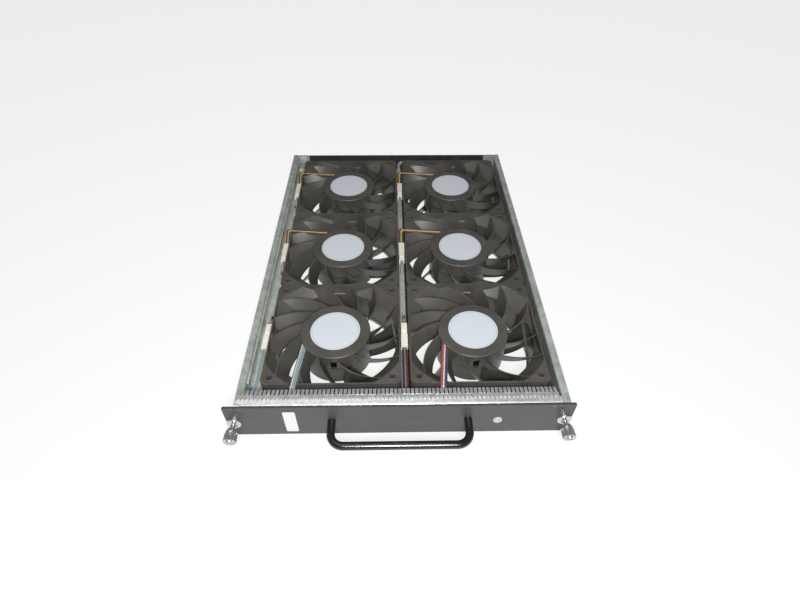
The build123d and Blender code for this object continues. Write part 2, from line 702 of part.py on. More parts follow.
# Fan frame: one moulding, drawn as a flanged shell, a motor cup and the guide vanes between them;
# the bore flares at the top into the corners
FLARE_RADIUS = (FAN_HOLE_SPACING * math.sqrt(2) - FAN_HOLE_DIAMETER) / 2 - FLARE_WALL
CUP_BOTTOM = FAN_DEPTH - CUP_DEPTH
LID_Z = FAN_DEPTH - CUP_LID
VANE_TOP = FAN_DEPTH - VANE_DROP
LOWER_BEARING_Z = TUBE_BOTTOM + BEARING_INSET
UPPER_BEARING_Z = LID_Z - BEARING_WIDTH
BOARD_TOP = LID_Z - POST_HEIGHT
HUB_TOP = ROTOR_FLOOR_GAP + HUB_FLOOR
STATOR_Z = HUB_TOP + YOKE_FLOOR + COIL_YOKE_GAP + COIL_THICKNESS
STATOR_TOP = BOARD_TOP - BOARD_THICKNESS - COIL_BOARD_GAP - COIL_THICKNESS
STATOR_STACK = STATOR_TOP - STATOR_Z
LEAD_SLOPE = (LEAD_EDGE_Y - LEAD_HUB_Y) / (FAN_SIZE / 2 + LEAD_HUB_X)


def lead_line(x):
    """Y of the middle lead where it crosses x, in a fan's own frame."""
    return LEAD_HUB_Y + (LEAD_HUB_X - x) * LEAD_SLOPE


def lead_strip(plane, start_x, end_x, width):
    """Strip along the leads, on a level plane of a fan."""
    with BuildSketch(plane) as strip:
        with BuildLine():
            Line((start_x, lead_line(start_x)), (end_x, lead_line(end_x)))
        trace(line_width=width)
    return strip.sketch


def twisted_blade(top, bottom, inner, outer, angle, sweep_angle, twist, thickness):
    """Blade lofted between two swept strips, the lower one turned by twist."""
    upper = blade_sketch(Plane.XY.offset(top), inner, outer, angle, sweep_angle, thickness)
    lower = blade_sketch(Plane.XY.offset(bottom), inner, outer, angle + twist, sweep_angle, thickness)
    with BuildPart() as blade:
        loft(sections=[upper.face(), lower.face()], ruled=True)
    return blade.part


VANE_INNER = HUB_RADIUS - CUP_WALL / 2
vane = twisted_blade(
    VANE_TOP,
    VANE_TOP - VANE_HEIGHT,
    VANE_INNER,
    FLARE_RADIUS,
    VANE_FIRST_ANGLE,
    VANE_SWEEP * (FLARE_RADIUS - VANE_INNER) / (BORE_RADIUS - VANE_INNER),
    VANE_TWIST,
    VANE_THICKNESS,
)
with BuildPart() as motor_cup:
    Cylinder(HUB_RADIUS, CUP_DEPTH, align=(Align.CENTER, Align.CENTER, Align.MIN))
    fillet(motor_cup.edges().sort_by(Axis.Z)[-1], CUP_EDGE_RADIUS)
    with BuildSketch(Plane.XY.offset(CUP_DEPTH)):
        Circle(LABEL_DIAMETER / 2 + SEAT)
    extrude(amount=-LABEL_THICKNESS, mode=Mode.SUBTRACT)
    with BuildSketch():
        Circle(HUB_RADIUS - CUP_WALL)
    extrude(amount=CUP_DEPTH - CUP_LID, mode=Mode.SUBTRACT)
    with BuildSketch(Plane.YZ.offset(-HUB_RADIUS)):
        Rectangle(CUP_WINDOW_WIDTH, CUP_DEPTH - CUP_WINDOW_TOP, align=(Align.CENTER, Align.MIN))
    extrude(amount=2 * CUP_WALL, mode=Mode.SUBTRACT)

rest_plane = Plane.XY.offset(LEAD_REST)
with BuildPart() as air_path:
    with BuildSketch(Plane.XY.offset(FAN_DEPTH - FLARE_DEPTH)):
        Circle(BORE_RADIUS)
    with BuildSketch(Plane.XY.offset(FAN_DEPTH)):
        Circle(FLARE_RADIUS)
    loft()
    with BuildSketch():
        Circle(BORE_RADIUS)
    extrude(amount=FAN_DEPTH - FLARE_DEPTH)
    with BuildSketch():
        Rectangle(FAN_SIZE - 2 * FLARE_RIM, FAN_SIZE - 2 * FLARE_RIM)
    extrude(amount=FAN_DEPTH, mode=Mode.INTERSECT)

with BuildPart() as fan_shell:
    with BuildSketch():
        RectangleRounded(FAN_SIZE, FAN_SIZE, FAN_CORNER_RADIUS)
        with GridLocations(FAN_HOLE_SPACING, FAN_HOLE_SPACING, 2, 2):
            Circle(FAN_HOLE_DIAMETER / 2, mode=Mode.SUBTRACT)
    extrude(amount=FAN_DEPTH)
    with BuildSketch(Plane.XY.offset(FAN_FLANGE)):
        Rectangle(FAN_SIZE, FAN_SIZE)
        Circle(BORE_RADIUS + FAN_SHELL, mode=Mode.SUBTRACT)
    extrude(amount=FAN_DEPTH - FAN_FLANGE - FAN_TOP_FLANGE, mode=Mode.SUBTRACT)
    add(air_path.part, mode=Mode.SUBTRACT)
    extrude(
        lead_strip(rest_plane, LEAD_HUB_X, -FAN_SIZE, LEAD_RIB_WIDTH),
        amount=FAN_DEPTH,
        mode=Mode.SUBTRACT,
    )

with BuildPart() as guide_vanes:
    with PolarLocations(0, VANE_COUNT):
        add(vane)
    rib_plane = Plane.XY.offset(LEAD_REST - LEAD_RIB_HEIGHT)
    extrude(lead_strip(rib_plane, LEAD_HUB_X, -FAN_SIZE / 2, LEAD_RIB_WIDTH), amount=LEAD_RIB_HEIGHT)
    extrude(
        lead_strip(rest_plane, LEAD_HUB_X, -FAN_SIZE, LEAD_RIB_WIDTH),
        amount=FAN_DEPTH,
        mode=Mode.SUBTRACT,
    )
    add(air_path.part, mode=Mode.INTERSECT)
    with BuildSketch():
        Circle(HUB_RADIUS)
    extrude(amount=FAN_DEPTH, mode=Mode.SUBTRACT)

with BuildPart() as motor_mount:
    with Locations((0, 0, CUP_BOTTOM)):
        add(motor_cup.part)
    extrude(
        lead_strip(rest_plane, LEAD_START_X + SIDE_CLEARANCE, -BORE_RADIUS, LEAD_RIB_WIDTH),
        amount=LEAD_COVER,
        mode=Mode.SUBTRACT,
    )
    with BuildSketch(Plane.XY.offset(TUBE_BOTTOM)):
        Circle(TUBE_RADIUS)
    extrude(amount=LID_Z - TUBE_BOTTOM)
    with BuildSketch(Plane.XY.offset(STATOR_TOP)):
        Circle(TUBE_RADIUS + TUBE_FLANGE)
    extrude(amount=LID_Z - STATOR_TOP)
    with BuildSketch(Plane.XY.offset(BOARD_TOP)):
        with PolarLocations(POST_CIRCLE / 2, 3):
            Circle(POST_DIAMETER / 2)
    extrude(amount=LID_Z - BOARD_TOP)
    with BuildSketch(Plane.XY.offset(TUBE_BOTTOM)):
        Circle(BEARING_OUTER / 2 - TUBE_SHOULDER)
    extrude(amount=FAN_DEPTH, mode=Mode.SUBTRACT)
    with BuildSketch(Plane.XY.offset(TUBE_BOTTOM)):
        Circle(BEARING_OUTER / 2 + FIT)
    extrude(amount=BEARING_INSET + BEARING_WIDTH, mode=Mode.SUBTRACT)
    with BuildSketch(Plane.XY.offset(UPPER_BEARING_Z)):
        Circle(BEARING_OUTER / 2 + FIT)
    extrude(amount=FAN_DEPTH, mode=Mode.SUBTRACT)
fan_frame = [fan_shell.part, motor_mount.part, *guide_vanes.part.solids()]

# Bearings, stator, coils, board and label of one fan
with BuildPart() as bearings:
    with BuildSketch(Plane.XY.offset(LOWER_BEARING_Z), Plane.XY.offset(UPPER_BEARING_Z)):
        Circle(BEARING_OUTER / 2)
        Circle(SHAFT_DIAMETER / 2 + FIT, mode=Mode.SUBTRACT)
    extrude(amount=BEARING_WIDTH)

STATOR_RADIUS = STATOR_DIAMETER / 2
with BuildPart() as stator_core:
    with BuildSketch(Plane.XY.offset(STATOR_Z)):
        Circle(STATOR_RADIUS)
        Circle(STATOR_RADIUS - POLE_SHOE, mode=Mode.SUBTRACT)
        with PolarLocations(STATOR_RADIUS, STATOR_POLES, start_angle=180 / STATOR_POLES):
            Rectangle(4 * POLE_SHOE, SHOE_SLOT, mode=Mode.SUBTRACT)
        with PolarLocations(0, STATOR_POLES):
            Rectangle(STATOR_RADIUS - POLE_SHOE / 2, POLE_WIDTH, align=(Align.MIN, Align.CENTER))
        Circle(STATOR_HUB / 2)
        Circle(TUBE_RADIUS + SEAT, mode=Mode.SUBTRACT)
    extrude(amount=STATOR_STACK)

COIL_MIDDLE = STATOR_Z + STATOR_STACK / 2
with BuildPart() as coil:
    with BuildSketch(Plane.YZ.offset(COIL_START)):
        with Locations((0, COIL_MIDDLE)):
            coil_width = POLE_WIDTH + 2 * COIL_THICKNESS
            RectangleRounded(coil_width, STATOR_STACK + 2 * COIL_THICKNESS, COIL_CORNER_RADIUS)
            Rectangle(POLE_WIDTH + 2 * SEAT, STATOR_STACK + 2 * SEAT, mode=Mode.SUBTRACT)
    extrude(amount=COIL_LENGTH)

with BuildPart() as fan_board:
    with BuildSketch(Plane.XY.offset(BOARD_TOP - BOARD_THICKNESS)):
        Circle(BOARD_RADIUS)
        Circle(TUBE_RADIUS + TUBE_FLANGE + SIDE_CLEARANCE, mode=Mode.SUBTRACT)
    extrude(amount=BOARD_THICKNESS)

with BuildPart() as fan_label:
    with BuildSketch(Plane.XY.offset(FAN_DEPTH - LABEL_THICKNESS)):
        Circle(LABEL_DIAMETER / 2)
    extrude(amount=LABEL_THICKNESS)

bearing_solids = []
coil_solids = []
for _, spot in fan_spots():
    bearing_solids += [solid.moved(spot) for solid in bearings.part.solids()]
    coil_solids += [coil.part.moved(spot * pole) for pole in PolarLocations(0, STATOR_POLES)]
keep_group(bearing_solids, "fan_bearings")
keep_group(coil_solids, "stator_coils")
keep_group(at_each_fan(stator_core.part), "stator_cores")
keep_group(at_each_fan(fan_board.part), "fan_boards")
keep_group(at_each_fan(fan_label.part), "fan_labels")

# Rotor of one fan: impeller drawn as hub and blades, steel yoke with its magnet lining, shaft
ROTOR_RADIUS = HUB_RADIUS - HUB_INSET
ROTOR_TOP = CUP_BOTTOM - ROTOR_CUP_GAP
BOSS_TOP = HUB_TOP + BOSS_HEIGHT
SHAFT_BOTTOM = HUB_TOP - SHAFT_SINK
YOKE_RADIUS = ROTOR_RADIUS - HUB_WALL - SEAT
fan_blade = twisted_blade(
    ROTOR_TOP - BLADE_INSET,
    ROTOR_FLOOR_GAP + BLADE_INSET,
    ROTOR_RADIUS - HUB_WALL / 2,
    BORE_RADIUS - TIP_CLEARANCE,
    BLADE_FIRST_ANGLE,
    BLADE_SWEEP,
    -BLADE_TWIST,
    BLADE_THICKNESS,
)
with BuildPart() as rotor_hub:
    with BuildSketch(Plane.XY.offset(ROTOR_FLOOR_GAP)):
        Circle(ROTOR_RADIUS)
    extrude(amount=ROTOR_TOP - ROTOR_FLOOR_GAP)
    with BuildSketch(Plane.XY.offset(HUB_TOP)):
        Circle(ROTOR_RADIUS - HUB_WALL)
    extrude(amount=ROTOR_TOP - HUB_TOP, mode=Mode.SUBTRACT)
    with BuildSketch(Plane.XY.offset(HUB_TOP)):
        Circle(BOSS_DIAMETER / 2)
    extrude(amount=BOSS_HEIGHT)
    with BuildSketch(Plane.XY.offset(SHAFT_BOTTOM)):
        Circle(SHAFT_DIAMETER / 2 + FIT)
    extrude(amount=BOSS_TOP - SHAFT_BOTTOM, mode=Mode.SUBTRACT)

with BuildPart() as fan_blades:
    with PolarLocations(0, BLADE_COUNT):
        add(fan_blade)
    with BuildSketch(Plane.XY.offset(ROTOR_FLOOR_GAP)):
        Circle(ROTOR_RADIUS)
    extrude(amount=ROTOR_TOP - ROTOR_FLOOR_GAP, mode=Mode.SUBTRACT)
impeller = [rotor_hub.part, *fan_blades.part.solids()]

with BuildPart() as rotor_yoke:
    with BuildSketch(Plane.XY.offset(HUB_TOP)):
        Circle(YOKE_RADIUS)
        Circle(BOSS_DIAMETER / 2 + SEAT, mode=Mode.SUBTRACT)
    extrude(amount=STATOR_TOP - HUB_TOP)
    with BuildSketch(Plane.XY.offset(HUB_TOP + YOKE_FLOOR)):
        Circle(STATOR_RADIUS + AIR_GAP)
    extrude(amount=STATOR_TOP - HUB_TOP, mode=Mode.SUBTRACT)

with BuildPart() as fan_shaft:
    with BuildSketch(Plane.XY.offset(SHAFT_BOTTOM)):
        Circle(SHAFT_DIAMETER / 2)
    extrude(amount=SHAFT_LENGTH)

for name, spot in fan_spots():
    keep_group([piece.moved(spot) for piece in fan_frame], f"fan_frame_{name}")
    keep_group([piece.moved(spot) for piece in impeller], f"impeller_{name}")
    keep(rotor_yoke.part.moved(spot), f"rotor_yoke_{name}")
    keep(fan_shaft.part.moved(spot), f"fan_shaft_{name}")

# Left wire trough: angle on the rail's wall, its top edge rolled to a hem
LEFT_LEAD_X = LEFT_X - LEAD_OFFSET
RIGHT_LEAD_X = RIGHT_X - LEAD_OFFSET
HEM_X = LEFT_WALL_IN + HEM_DIAMETER / 2
HEM_Z = WALL_TOP - SHEET - BEND - HEM_DIAMETER / 2
LEDGE_Z = TROUGH_FLOOR_Z - TROUGH_SHEET / 2


def tail_side(row):
    """Direction along Y from a fan's connector to its harness tail."""
    return 1 if row == "front" else -1


def tail_slots(x):
    """Slots for the harness tails of one column, on the trough floor."""
    with BuildSketch(Plane.XY.offset(TROUGH_FLOOR_Z - 2 * TROUGH_SHEET)) as slots:
        for row in FAN_ROWS:
            along = PLUG_LENGTH + TAIL_RUN + WIRE_TURN
            with Locations((x, row_y(row) + tail_side(row) * along)):
                SlotOverall(TAIL_SLOT_LENGTH, TAIL_SLOT_WIDTH, rotation=90)
    return slots.sketch


with BuildPart() as left_trough:
    with BuildSketch(upright(FAN_REAR_Y)):
        with BuildLine():
            FilletPolyline(
                (LEFT_WALL_IN + TROUGH_SHEET / 2, HEM_Z),
                (LEFT_WALL_IN + TROUGH_SHEET / 2, LEDGE_Z),
                (LEFT_X - FAN_SIZE / 2 - SIDE_CLEARANCE, LEDGE_Z),
                radius=TROUGH_BEND,
            )
        trace(line_width=TROUGH_SHEET)
        with Locations((HEM_X, HEM_Z)):
            Circle(HEM_DIAMETER / 2)
    extrude(amount=FAN_REAR_Y - FAN_FRONT_Y - TROUGH_FRONT_INSET)
    with Locations((HEM_X, FAN_FRONT_Y + TROUGH_FRONT_INSET, HEM_Z)):
        Sphere(HEM_DIAMETER / 2)
    extrude(tail_slots(LEFT_LEAD_X), amount=3 * TROUGH_SHEET, mode=Mode.SUBTRACT)
keep(left_trough.part, "left_wire_trough")

# Centre wire trough: strip between the columns on a web that stands on the floor
CENTRE_WEB_X = CENTRE_LEFT + TROUGH_SHEET / 2
CENTRE_FOOT_Z = SHEET + TROUGH_SHEET / 2
with BuildPart() as centre_trough:
    with BuildSketch(upright(FAN_REAR_Y)):
        with BuildLine():
            FilletPolyline(
                (CENTRE_LEFT + CENTRE_FLANGE, LEDGE_Z),
                (CENTRE_WEB_X, LEDGE_Z),
                (CENTRE_WEB_X, CENTRE_FOOT_Z),
                (CENTRE_LEFT + CENTRE_FOOT, CENTRE_FOOT_Z),
                radius=TROUGH_SHEET,
            )
        trace(line_width=TROUGH_SHEET)
    extrude(amount=FAN_REAR_Y - FAN_FRONT_Y - TROUGH_FRONT_INSET)
    extrude(tail_slots(RIGHT_LEAD_X), amount=3 * TROUGH_SHEET, mode=Mode.SUBTRACT)
keep(centre_trough.part, "centre_wire_trough")

# In-line connectors: the fan's plug and the harness socket, end to end on the trough floor
with BuildPart() as plug:
    with BuildSketch(Plane.XY.offset(TROUGH_FLOOR_Z)):
        Rectangle(PLUG_WIDTH, PLUG_LENGTH, align=(Align.CENTER, Align.MAX))
    extrude(amount=PLUG_HEIGHT)
    chamfer(plug.edges().filter_by(Axis.Y), length=SIDE_CLEARANCE)
with BuildPart() as socket:
    with BuildSketch(Plane.XY.offset(TROUGH_FLOOR_Z)):
        Rectangle(SOCKET_WIDTH, PLUG_LENGTH, align=(Align.CENTER, Align.MIN))
    extrude(amount=PLUG_HEIGHT)
    chamfer(socket.edges().filter_by(Axis.Y), length=SIDE_CLEARANCE)
    with BuildSketch(Plane.XY.offset(TROUGH_FLOOR_Z + PLUG_HEIGHT)):
        with Locations((0, PLUG_LENGTH / 2)):
            Rectangle(LATCH_WIDTH, LATCH_LENGTH)
    extrude(amount=LATCH_HEIGHT)
connector_spots = []
for row in FAN_ROWS:
    for x in (LEFT_LEAD_X, RIGHT_LEAD_X):
        turn = 0 if tail_side(row) > 0 else 180
        connector_spots.append(Location((x, row_y(row), 0), (0, 0, turn)))
keep_group([plug.part.moved(spot) for spot in connector_spots], "lead_plugs")
keep_group([socket.part.moved(spot) for spot in connector_spots], "lead_sockets")

# Fan leads: three wires from the motor cup along the rib, over the edge and round to the plug
LEAD_Z = FAN_Z + LEAD_REST + WIRE_DIAMETER / 2
FRONT_GAP_Y = FAN_SIZE / 2 + WIRE_GAP


def lead_points(row, x, step):
    """Route of one wire; step is -1, 0 or 1, its place in the row of three."""
    across = step * WIRE_PITCH
    y = row_y(row)
    if row == "front":
        edge_x = x - lead_line(-FRONT_GAP_Y) - across
        plug_x = x - LEAD_OFFSET + across
        run_z = LEAD_Z - WIRE_GAP_DROP + across
        return [
            (x - lead_line(LEAD_START_X) - across, y + LEAD_START_X, LEAD_Z),
            (edge_x, y - FRONT_GAP_Y, LEAD_Z),
            (edge_x, y - FRONT_GAP_Y, run_z),
            (plug_x, y - FRONT_GAP_Y, run_z),
            (plug_x, y - FRONT_GAP_Y, PLUG_Z),
            (plug_x, y - PLUG_LENGTH, PLUG_Z),
        ]
    plug_x = x - LEAD_OFFSET - across
    return [
        (x + LEAD_START_X, y + lead_line(LEAD_START_X) + across, LEAD_Z),
        (plug_x, y + lead_line(-LEAD_OFFSET) + across, LEAD_Z),
        (plug_x, y + PLUG_LENGTH + WIRE_RUN, PLUG_Z),
        (plug_x, y + PLUG_LENGTH, PLUG_Z),
    ]


for colour, step in (("blue", -1), ("yellow", 0), ("red", 1)):
    wires = []
    for row in FAN_ROWS:
        for x in FAN_COLUMNS.values():
            wires.append(tube_along(lead_points(row, x, step), WIRE_DIAMETER, WIRE_TURN))
    keep_group(wires, f"{colour}_leads")

# Harness: a bundle under each trough to the rear connector, with a tail up to each socket
GAP_Y = FAN_REAR_Y + GAP_RUN
ENTRY_X = RIGHT_X - PORT_ENTRY


def harness(x, z, start_y, crossing):
    """Bundle from start_y past the crossing to the rear connector, and three tails, as one piece."""
    with BuildPart() as loom:
        bundle = [(x, start_y, z), *crossing, (ENTRY_X, PANEL_Y - PORT_DEPTH, z)]
        add(tube_along(bundle, BUNDLE_DIAMETER, BUNDLE_TURN))
        for row in FAN_ROWS:
            side = tail_side(row)
            y = row_y(row) + side * PLUG_LENGTH
            tail = [
                (x, y, PLUG_Z),
                (x, y + side * TAIL_RUN, PLUG_Z),
                (x, y + side * (TAIL_RUN + TAIL_DROP), z),
            ]
            add(tube_along(tail, TAIL_DIAMETER, BUNDLE_TURN))
    return loom.part


CENTRE_START_Y = FAN_FRONT_Y + CENTRE_BUNDLE_INSET
LEFT_START_Y = row_y("front") + BUNDLE_START
left_crossing = [(LEFT_LEAD_X, GAP_Y, LEFT_BUNDLE_Z), (ENTRY_X, GAP_Y, LEFT_BUNDLE_Z)]
centre_crossing = [
    (RIGHT_LEAD_X, GAP_Y, CENTRE_BUNDLE_Z),
    (RIGHT_LEAD_X, GAP_Y, CENTRE_CROSSING_Z),
    (ENTRY_X, GAP_Y, CENTRE_CROSSING_Z),
    (ENTRY_X, GAP_Y, CENTRE_BUNDLE_Z),
]
keep(harness(LEFT_LEAD_X, LEFT_BUNDLE_Z, LEFT_START_Y, left_crossing), "left_harness")
keep(harness(RIGHT_LEAD_X, CENTRE_BUNDLE_Z, CENTRE_START_Y, centre_crossing), "centre_harness")

# Status light cable: from the board along the channel, under the leads and up to the centre bundle
LIGHT_CABLE_X = LIGHT_X - LIGHT_BOARD_WIDTH / 4
LIGHT_CABLE_Y = FRONT_Y + CHANNEL_FOOT
light_route = [
    (LIGHT_CABLE_X, LIGHT_BOARD_Y + BOARD_THICKNESS, LIGHT_Z),
    (LIGHT_CABLE_X, LIGHT_CABLE_Y, LIGHT_Z),
    (LIGHT_CABLE_X - COLUMN_PITCH / 8, LIGHT_CABLE_Y, LIGHT_CABLE_Z),
    (RIGHT_LEAD_X + COLUMN_GAP, LIGHT_CABLE_Y, LIGHT_CABLE_Z),
    (RIGHT_LEAD_X, FAN_FRONT_Y - WIRE_TURN, LIGHT_CABLE_Z),
    (RIGHT_LEAD_X, CENTRE_START_Y - LIGHT_CABLE_RISE, CENTRE_BUNDLE_Z),
    (RIGHT_LEAD_X, CENTRE_START_Y, CENTRE_BUNDLE_Z),
]
keep(tube_along(light_route, LIGHT_CABLE, LIGHT_CABLE_TURN), "light_cable")
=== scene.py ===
import math

import bmesh
import bpy
from mathutils import Matrix, Vector


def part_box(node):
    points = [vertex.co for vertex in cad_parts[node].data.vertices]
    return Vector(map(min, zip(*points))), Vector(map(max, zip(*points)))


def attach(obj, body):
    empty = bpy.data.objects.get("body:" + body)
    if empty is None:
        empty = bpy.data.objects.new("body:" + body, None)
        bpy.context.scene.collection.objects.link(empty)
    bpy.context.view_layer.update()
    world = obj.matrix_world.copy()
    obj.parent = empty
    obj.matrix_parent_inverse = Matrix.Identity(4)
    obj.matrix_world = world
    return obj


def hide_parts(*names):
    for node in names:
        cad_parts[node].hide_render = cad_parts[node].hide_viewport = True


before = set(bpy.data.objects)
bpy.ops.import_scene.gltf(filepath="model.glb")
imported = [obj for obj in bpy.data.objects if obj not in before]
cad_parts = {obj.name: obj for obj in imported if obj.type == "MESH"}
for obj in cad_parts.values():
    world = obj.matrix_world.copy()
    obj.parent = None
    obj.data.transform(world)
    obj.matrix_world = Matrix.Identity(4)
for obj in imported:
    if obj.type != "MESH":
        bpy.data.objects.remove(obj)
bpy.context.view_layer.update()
bpy.context.scene.view_settings.view_transform = "Standard"

# Tray sheet: floor, side rails, front channel, wire troughs and rear panel, folded from
# zinc-plated steel about a millimetre thick. The plating is dull, faintly green and cloudy,
# with rolling lines along the tray and dark handling marks.


class Wire:
    """An output of a material's nodes. Sums on it add Math nodes to the material."""

    def __init__(self, tree, socket=None):
        self.tree = tree
        self.socket = socket

    def node(self, kind, settings, inputs, output=0):
        made = self.tree.nodes.new("ShaderNode" + kind)
        for name, value in settings.items():
            setattr(made, name, value)
        for name, value in inputs.items():
            if isinstance(value, Wire):
                self.tree.links.new(value.socket, made.inputs[name])
            else:
                made.inputs[name].default_value = value
        return Wire(self.tree, made.outputs[output])

    def sum(self, operation, first, second=0.0):
        return self.node("Math", {"operation": operation}, {0: first, 1: second})

    def __add__(self, other):
        return self.sum("ADD", self, other)

    __radd__ = __add__

    def __sub__(self, other):
        return self.sum("SUBTRACT", self, other)

    def __rsub__(self, other):
        return self.sum("SUBTRACT", other, self)

    def __mul__(self, other):
        return self.sum("MULTIPLY", self, other)

    __rmul__ = __mul__

    def step(self, low, high):
        """0 below low, 1 above high, smooth between."""
        ramp = {"interpolation_type": "SMOOTHSTEP"}
        limits = {"Value": self, "From Min": low, "From Max": high}
        return self.node("MapRange", ramp, limits)

    def between(self, first, second):
        """Colour that runs from first to second as this value runs from 0 to 1."""
        paint = {"data_type": "RGBA", "clamp_factor": True}
        return self.node("Mix", paint, {0: self, 6: first, 7: second}, 2)

    def noise(self, scale, detail=3.0, stretch=(1, 1, 1)):
        """Cloudy value from 0 to 1; self is the place, scale the clouds per metre."""
        place = self
        if stretch != (1, 1, 1):
            place = self.node("Mapping", {}, {"Vector": self, "Scale": stretch})
        return self.node("TexNoise", {}, {"Vector": place, "Scale": scale, "Detail": detail})

    def bump(self, strength, distance):
        sockets = {"Height": self, "Strength": strength, "Distance": distance}
        return self.node("Bump", {}, sockets)


def finish(name, **sockets):
    """Material with plain socket values; returns it with its shader and Object place."""
    material = bpy.data.materials.new(name)
    material.use_nodes = True
    tree = material.node_tree
    shader = tree.nodes["Principled BSDF"]
    for socket, value in sockets.items():
        shader.inputs[socket.replace("_", " ")].default_value = value
    return material, shader, Wire(tree).node("TexCoord", {}, {}, "Object")


def feed(shader, **wires):
    for socket, wire in wires.items():
        wire.tree.links.new(wire.socket, shader.inputs[socket.replace("_", " ")])


def dress(material, *nodes):
    """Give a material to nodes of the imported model."""
    for node in nodes:
        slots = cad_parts[node].data.materials
        slots.clear()
        slots.append(material)


def zinc_sheet(name, dark, pale, rough):
    material, shader, place = finish(name, Metallic=0.55)
    clouds = place.noise(55, 4)
    spangle = place.node("TexVoronoi", {}, {"Vector": place, "Scale": 210.0}, "Color")
    spangle = spangle.node("SeparateColor", {}, {"Color": spangle})
    lines = place.noise(900, 2, (1, 0.03, 1))
    marks = place.noise(160, 6).step(0.62, 0.72)
    tone = clouds * 0.55 + spangle * 0.2 + lines * 0.25
    plated = tone.step(0.25, 0.75).between((*dark, 1), (*pale, 1))
    smudge = [0.55 * c for c in dark]
    feed(
        shader,
        Base_Color=(marks * 0.4).between(plated, (*smudge, 1)),
        Roughness=rough + clouds * 0.16 + marks * 0.1,
        Normal=(lines + spangle * 0.3).bump(0.12, 0.0002),
    )
    return material


tray_zinc = zinc_sheet("tray_zinc", (0.40, 0.44, 0.40), (0.66, 0.70, 0.66), 0.3)
dress(tray_zinc, "tray_floor", "left_rail", "right_rail")
# Painted light: the wire troughs take a paler copy of the tray zinc, as they are lit.
trough_zinc_lit = zinc_sheet("trough_zinc_lit", (0.46, 0.49, 0.45), (0.70, 0.73, 0.69), 0.34)
dress(trough_zinc_lit, "left_wire_trough", "centre_wire_trough")
# Painted highlight: the front channel takes a much paler copy of the tray zinc, for the bright strip
# along its bend.
channel_zinc_lit = zinc_sheet("channel_zinc_lit", (0.60, 0.61, 0.60), (0.80, 0.81, 0.80), 0.25)
dress(channel_zinc_lit, "front_channel")
# The rear panel takes the same zinc finish, made near-black.
rear_zinc = zinc_sheet("rear_zinc", (0.035, 0.038, 0.036), (0.07, 0.075, 0.07), 0.42)
dress(rear_zinc, "rear_panel")

# Front plate: two millimetre sheet in satin dark grey paint with a fine orange-peel
# skin, a few hairline scratches and slightly paler where fingers rub it.
plate_paint, shader, place = finish("plate_paint", Specular_IOR_Level=0.45)
peel = place.noise(1400, 2)
rubbed = place.noise(22, 5).step(0.48, 0.72)
scratches = place.noise(2200, 2, (0.02, 1, 1)).step(0.66, 0.76)
paint = (rubbed * 0.6).between((0.054, 0.054, 0.057, 1), (0.080, 0.080, 0.083, 1))
feed(
    shader,
    Base_Color=(scratches * 0.3).between(paint, (0.20, 0.20, 0.20, 1)),
    Roughness=0.40 + rubbed * 0.12 - scratches * 0.05,
    Normal=peel.bump(0.10, 0.0002),
)
dress(plate_paint, "faceplate")

# Shielding gasket: tinned spring strip clipped over the channel's flange. The front
# half is a band with a row of pressed dimples, the rear half a row of separate
# fingers that arch up and bear on the chassis. The strip is a quarter millimetre thick.
gasket_low, gasket_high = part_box("emi_gasket")
spring_tin, shader, place = finish("spring_tin", Metallic=0.65)
clouds = place.noise(240, 4)
streaks = place.noise(1500, 2, (1, 0.05, 1))
tin = (clouds * 0.6 + streaks * 0.4).step(0.3, 0.7)
feed(
    shader,
    Base_Color=tin.between((0.44, 0.45, 0.44, 1), (0.70, 0.71, 0.70, 1)),
    Roughness=0.22 + clouds * 0.2,
    Normal=streaks.bump(0.1, 0.0002),
)


class Shape:
    """A Geometry Nodes tree for one kind of piece, with its sizes as named inputs."""

    def __init__(self, name, **sizes):
        self.tree = bpy.data.node_groups.new(name, "GeometryNodeTree")
        faces = self.tree.interface
        faces.new_socket("Geometry", in_out="OUTPUT", socket_type="NodeSocketGeometry")
        self.sizes = sizes
        for size, value in sizes.items():
            kind = "NodeSocketInt" if isinstance(value, int) else "NodeSocketFloat"
            faces.new_socket(size, in_out="INPUT", socket_type=kind).default_value = value
        self.given = self.tree.nodes.new("NodeGroupInput").outputs
        self.result = self.tree.nodes.new("NodeGroupOutput").inputs[0]

    def node(self, kind, inputs=None, output=0, **settings):
        prefix = "" if kind.startswith(("ShaderNode", "FunctionNode")) else "GeometryNode"
        made = self.tree.nodes.new(prefix + kind)
        for name, value in settings.items():
            setattr(made, name, value)
        for name, value in (inputs or {}).items():
            if isinstance(value, bpy.types.NodeSocket):
                self.tree.links.new(value, made.inputs[name])
            else:
                made.inputs[name].default_value = value
        return made.outputs[output]

    def join(self, *parts):
        made = self.tree.nodes.new("GeometryNodeJoinGeometry")
        for part in parts:
            self.tree.links.new(part, made.inputs[0])
        return made.outputs[0]

    def times(self, first, second):
        return self.node("ShaderNodeMath", {0: first, 1: second}, operation="MULTIPLY")

    def plus(self, first, second):
        return self.node("ShaderNodeMath", {0: first, 1: second}, operation="ADD")

    def vector(self, x=0.0, y=0.0, z=0.0):
        return self.node("ShaderNodeCombineXYZ", {0: x, 1: y, 2: z})

    def piece(self, name, geometry, material):
        """Realize the tree, and return its result as a plain object at the origin."""
        realized = self.node("RealizeInstances", {0: geometry})
        painted = self.node("SetMaterial", {"Geometry": realized, "Material": material})
        self.tree.links.new(painted, self.result)
        holder = bpy.data.objects.new(name + "_tree", bpy.data.meshes.new(name + "_tree"))
        bpy.context.scene.collection.objects.link(holder)
        modifier = holder.modifiers.new("shape", "NODES")
        modifier.node_group = self.tree
        seen = bpy.context.evaluated_depsgraph_get()
        mesh = bpy.data.meshes.new_from_object(holder.evaluated_get(seen))
        bpy.data.objects.remove(holder)
        mesh.name = name
        mesh.materials.clear()
        mesh.materials.append(material)
        for polygon in mesh.polygons:
            polygon.material_index = 0
        finished = bpy.data.objects.new(name, mesh)
        bpy.context.scene.collection.objects.link(finished)
        return finished


